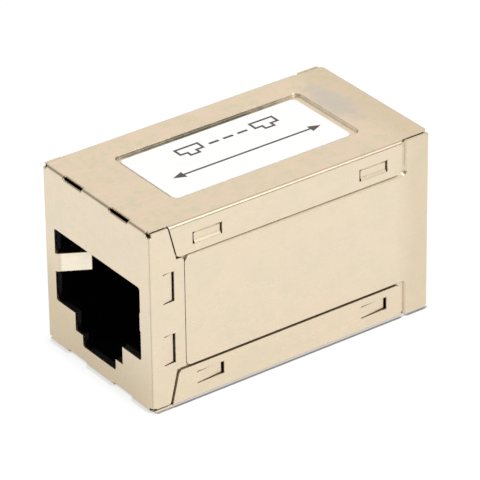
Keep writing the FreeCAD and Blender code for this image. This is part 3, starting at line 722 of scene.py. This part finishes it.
ports = bmesh.new()
for centre in PORT_CENTRES:
    port_frame(ports, centre, ROW_UP)
finish_print(ports, "print_ports")

joining = bmesh.new()
for dash in range(DASHES):
    start = DASH_START + dash * DASH_PITCH
    bar(joining, start, start + DASH_LONG, ROW_UP, LINE)
finish_print(joining, "print_joining_line")

# %% [markdown]
# ### Arrow
#
# The long arrow under the ports has a head at each end, because a coupler works the same
# both ways. It is a bar and two triangles that meet without an overlap, so no two faces
# of ink lie in the same place.


# %% Arrow
ARROW_UP, ARROW_LEFT, ARROW_RIGHT = -1.1 * MM, -7.1 * MM, 7.9 * MM
SHAFT = LINE * 0.8
HEAD_LONG, HEAD_WIDE = 1.1 * MM, 0.95 * MM


def arrow_head(bm, tip, back, up, width):
    """Triangle with its tip at one end of the arrow."""
    flat_shape(bm, [(tip, up), (back, up + width / 2), (back, up - width / 2)])


arrow = bmesh.new()
left_back, right_back = ARROW_LEFT + HEAD_LONG, ARROW_RIGHT - HEAD_LONG
bar(arrow, left_back, right_back, ARROW_UP, SHAFT)
arrow_head(arrow, ARROW_LEFT, left_back, ARROW_UP, HEAD_WIDE)
arrow_head(arrow, ARROW_RIGHT, right_back, ARROW_UP, HEAD_WIDE)
finish_print(arrow, "print_arrow")
print("ink top at", round((label_high.z + INK_THICK) / MM, 3), "mm")

# %% [markdown]
# ## Floor and background
#
# The coupler stands on a plain white table that runs on out of sight. Three things tell
# how it sits there. Seen directly, the table glows to paper white, keeps a part of the
# soft shadow, and has a thin dark line of painted shadow where the coupler touches it,
# which is darkest on the side of the lamp because no other shade hides it there. Seen in a
# reflection it glows less, so the metal shows more of the real shade under the object. One
# dark wedge of it, out from the front right corner, is seen only in the upright fold at
# that corner, and draws the fold as a line.


# %% Floor material
WHITE = (1, 1, 1, 1)
TABLE, UNLIT_TABLE = (0.9, 0.9, 0.89, 1), (0.1, 0.09, 0.08, 1)


def contact_shadow_mask(tree, point, corner):
    """Painted contact shadow: a thin dark line round the foot of the coupler, faint except on
    the lamp's side.
    """
    faint, lamp_side_starts, lamp_side_full = 0.2, corner.x - 0.3, corner.x + 0.2
    across = split_xyz(tree, point)["X"]
    lamp_side = spread(tree, across, lamp_side_starts, lamp_side_full)
    deepest = spread(tree, lamp_side, 0.0, 1.0, faint, 1.0)
    foot = crevices(tree, reach_mm=0.35, deep_level=0.95)[1]
    return arithmetic(tree, "MULTIPLY", foot, deepest)


def wedge_mask(tree, point, corner):
    """Wedge of the floor that opens from the front right corner of the coupler."""
    ahead, starts, full, strength = (0.58, -0.81, 0), 0.93, 0.99, 0.42
    outward = on_vectors(tree, "SUBTRACT", point, corner)["Vector"]
    heading = on_vectors(tree, "NORMALIZE", outward)["Vector"]
    facing = on_vectors(tree, "DOT_PRODUCT", heading, ahead)["Value"]
    return spread(tree, facing, starts, full, 0.0, strength)


def make_table_material():
    seen_strength, mirrored_strength, shade_in_mirror = 1.05, 1.04, 0.42
    shade_far, shade_near = 0.09, 0.2
    material = bpy.data.materials.new("white_table")
    material.use_nodes = True
    tree = material.node_tree
    tree.nodes.clear()
    plain = add(tree, "ShaderNodeBsdfDiffuse", {"Color": TABLE})
    unlit = add(tree, "ShaderNodeBsdfDiffuse", {"Color": UNLIT_TABLE})
    white, glow = (
        add(tree, "ShaderNodeEmission", {"Color": WHITE, "Strength": strength})
        for strength in (seen_strength, mirrored_strength))

    def mixed(share, first, second):
        return add(tree, "ShaderNodeMixShader",
                   {0: share, 1: first.outputs[0], 2: second.outputs[0]})

    point = millimetres(tree)
    corner = Vector((box_high.x, box_low.y, 0)) / MM
    contact = contact_shadow_mask(tree, point, corner)
    wedge = wedge_mask(tree, point, corner)
    nearness = crevices(tree, reach_mm=1.5)[0]
    shadow = spread(tree, nearness, 0.0, 1.0, shade_far, shade_near)
    path = add(tree, "ShaderNodeLightPath")
    # The contact line is painted shadow, where the unlit table shows through.
    direct = mixed(contact, mixed(shadow, white, plain), unlit)
    reflected = mixed(wedge, mixed(shade_in_mirror, glow, plain), unlit)
    elsewhere = mixed(path.outputs["Is Glossy Ray"], plain, reflected)
    seen = mixed(path.outputs["Is Camera Ray"], elsewhere, direct)
    output = add(tree, "ShaderNodeOutputMaterial")
    tree.links.new(seen.outputs[0], output.inputs["Surface"])
    return material


white_table = make_table_material()
print("made", white_table.name)

# %% [markdown]
# ### The sheet itself
#
# One square, a few metres wide, is enough for a table whose far edge never shows. It
# lies a hair under the coupler, so that the two don't share one plane. It is stage and
# no piece of the coupler.


# %% Floor
FLOOR_HALF = 3.0
FLOOR_GAP = 0.02 * MM


def make_floor():
    bm = bmesh.new()
    bmesh.ops.create_grid(bm, x_segments=1, y_segments=1, size=FLOOR_HALF)
    mesh = bpy.data.meshes.new("floor")
    bm.to_mesh(mesh)
    bm.free()
    mesh.materials.append(white_table)
    floor = bpy.data.objects.new("floor", mesh)
    floor.location.z = box_low.z - FLOOR_GAP
    bpy.context.scene.collection.objects.link(floor)
    print("floor laid at z =", round(floor.location.z / MM, 3), "mm")


make_floor()

# %% [markdown]
# ## Light
#
# Satin metal is lit by what stands round it, and each flat face and fold mirrors its own
# part of the room. A room is cheaper to describe as colours over directions than as
# walls: a direction and two cosines make a soft round lobe. The studio is a dim room
# under a brighter ceiling, with four lobes in it:
#
# - a white sweep at the left behind the coupler, which lights the top
# - a bright panel high at the right behind it, for the highlight along the top right fold
# - a low window at the front left, for the slopes at the far end of the label's field
# - an unlit part over it, for the thin brown line along the top front fold
#
# Reflections see this room. Everything matte is lit by an even white sky, so the label
# stays white, and one soft lamp at the right throws the shadow.


# %% Room seen in reflections
DIM, CEILING = (0.25, 0.24, 0.22, 1), (0.5, 0.49, 0.47, 1)
# Each lobe: the direction, the cosines where it starts and where it is full, the colour.
LOBES = {
    "sweep": ((-0.70, 0.51, 0.48), 0.88, 0.96, (0.95, 0.91, 0.86, 1)),
    "panel": ((0.49, 0.51, 0.70), 0.86, 0.95, (1.08, 1.04, 0.96, 1)),
    "window": ((-0.70, -0.70, 0.11), 0.93, 0.99, (0.9, 0.87, 0.81, 1)),
    "unlit": ((-0.70, -0.50, 0.51), 0.93, 0.99, DIM),
}


def room_colour(tree):
    """Colour of the room over directions."""
    direction = add(tree, "ShaderNodeTexCoord").outputs["Generated"]
    overhead = spread(tree, split_xyz(tree, direction)["Z"], 0.25, 0.6)
    room = blend_colours(tree, overhead, DIM, CEILING)
    for towards, starts, full, colour in LOBES.values():
        aim = Vector(towards).normalized()
        facing = on_vectors(tree, "DOT_PRODUCT", direction, aim)["Value"]
        room = blend_colours(tree, spread(tree, facing, starts, full), room, colour)
    return room


print("lobes of the room:", ", ".join(LOBES))

# %% [markdown]
# ### World and lamp
#
# Light Path tells what kind of ray asks. A ray from the camera sees white, a mirrored
# ray sees the room, and every other ray sees the even sky, so the three can be set
# apart: the background stays white however dim the room is. The lamp is wide enough for
# a soft shadow, and too weak to bleach the label.


# %% World and lamp
SKY_STRENGTH = 0.78


def make_room():
    """World that answers camera rays, mirrored rays and all the others each in its way."""
    world = bpy.data.worlds.new("studio")
    bpy.context.scene.world = world
    world.use_nodes = True
    tree = world.node_tree
    tree.nodes.clear()
    sky, reflected, white = (
        add(tree, "ShaderNodeBackground", {"Color": colour, "Strength": strength}).outputs[0]
        for colour, strength in ((WHITE, SKY_STRENGTH), (room_colour(tree), 1.0), (WHITE, 1.0)))
    path = add(tree, "ShaderNodeLightPath").outputs
    mirrored = arithmetic(tree, "MAXIMUM", path["Is Glossy Ray"], path["Is Transmission Ray"])
    shown = add(tree, "ShaderNodeMixShader", {0: mirrored, 1: sky, 2: reflected}).outputs[0]
    final = add(tree, "ShaderNodeMixShader", {0: path["Is Camera Ray"], 1: shown, 2: white})
    output = add(tree, "ShaderNodeOutputWorld")
    tree.links.new(final.outputs[0], output.inputs["Surface"])
    print("world:", world.name)


def soft_lamp(name, towards, away, size, watts):
    """Square lamp on the line from the coupler's middle towards a direction."""
    light = bpy.data.lights.new(name, "AREA")
    light.shape = "SQUARE"
    light.size = size
    light.energy = watts
    lamp = bpy.data.objects.new(name, light)
    aim = Vector(towards).normalized()
    lamp.location = (box_low + box_high) / 2 + aim * away
    lamp.rotation_mode = "QUATERNION"
    lamp.rotation_quaternion = aim.to_track_quat("Z", "Y")
    bpy.context.scene.collection.objects.link(lamp)
    print("lamp:", name, "at mm", [round(c / MM) for c in lamp.location])


make_room()
soft_lamp("key", towards=(0.66, 0.15, 0.73), away=0.4, size=0.14, watts=0.65)

# %% [markdown]
# ## Camera
#
# A small object looks right from a distance through a long lens, which keeps its edges
# almost parallel. The camera is placed by the direction it looks in, the point it looks
# at and how far back it stands, then rolled by less than a degree.


# %% Camera
SENSOR_WIDE = 36.0
AIM_FROM_MIDDLE = Vector((0.33, -0.04, -0.28)) * MM


def make_camera(aim, azimuth, elevation, roll, away, lens):
    """Angles in degrees: azimuth 0 looks along +Y and 90 along -X."""
    turn, tilt, lean = (math.radians(angle) for angle in (azimuth, elevation, roll))
    back = Vector((math.sin(turn) * math.cos(tilt), -math.cos(turn) * math.cos(tilt),
                   math.sin(tilt)))
    right = Vector((math.cos(turn), math.sin(turn), 0))
    up = back.cross(right)
    leaning = right * math.cos(lean) + up * math.sin(lean)
    upright = back.cross(leaning)
    axes = Matrix((leaning, upright, back)).transposed().to_4x4()
    camera = bpy.data.objects.new("camera", bpy.data.cameras.new("camera"))
    camera.matrix_world = Matrix.Translation(aim + back * away) @ axes
    camera.data.lens = lens
    camera.data.sensor_width = SENSOR_WIDE
    camera.data.clip_start = away / 10
    camera.data.clip_end = away * 40
    bpy.context.scene.collection.objects.link(camera)
    bpy.context.scene.camera = camera
    print("camera at mm:", [round(c / MM, 1) for c in camera.location])


make_camera((box_low + box_high) / 2 + AIM_FROM_MIDDLE, azimuth=54.11, elevation=29.87,
            roll=-0.75, away=338.07 * MM, lens=305.5)
bpy.context.scene.view_settings.view_transform = "Standard"
